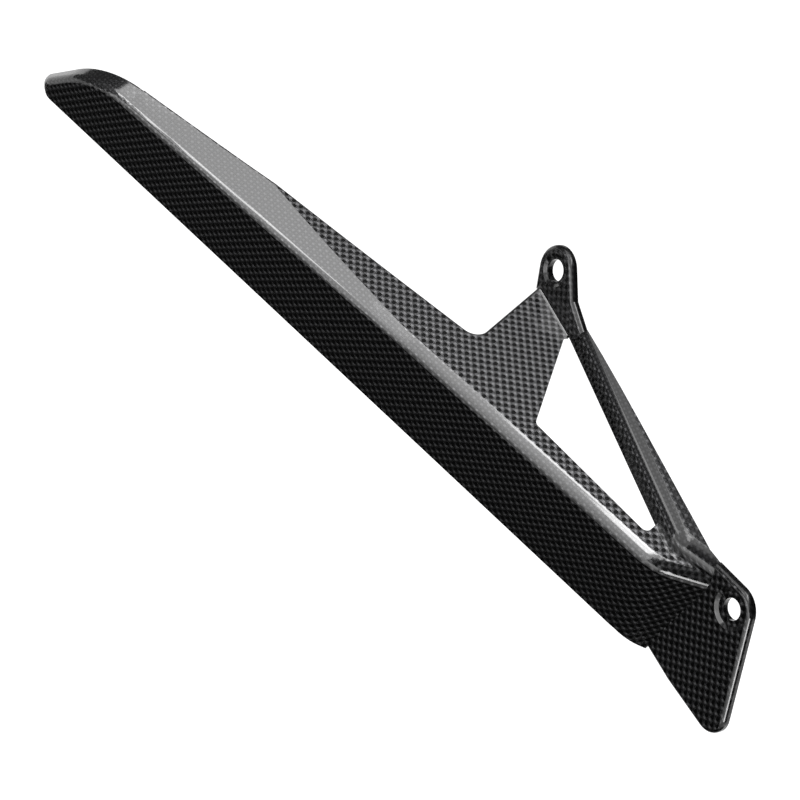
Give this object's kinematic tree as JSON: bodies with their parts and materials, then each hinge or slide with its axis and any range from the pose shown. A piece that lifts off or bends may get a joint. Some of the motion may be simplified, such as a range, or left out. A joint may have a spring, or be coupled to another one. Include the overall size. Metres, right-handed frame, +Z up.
{
  "type": "motorcycle chain guard",
  "caption": "Moulded carbon laminate chain guard: a long open channel with a faceted nose, a strut across a window, bolt lugs and a tail flap.",
  "frame": {"origin": "on the tail bolt's axis, at the lug's seat against the swingarm", "axes": "+X along the chain towards the nose, +Y outboard, +Z up"},
  "size_m": [0.3918, 0.088, 0.0673],
  "materials": {
    "carbon": "plain-weave carbon under a glossy clear coat"
  },
  "bodies": {
    "root": {"chain_guard": "carbon"}
  },
  "joints": []
}
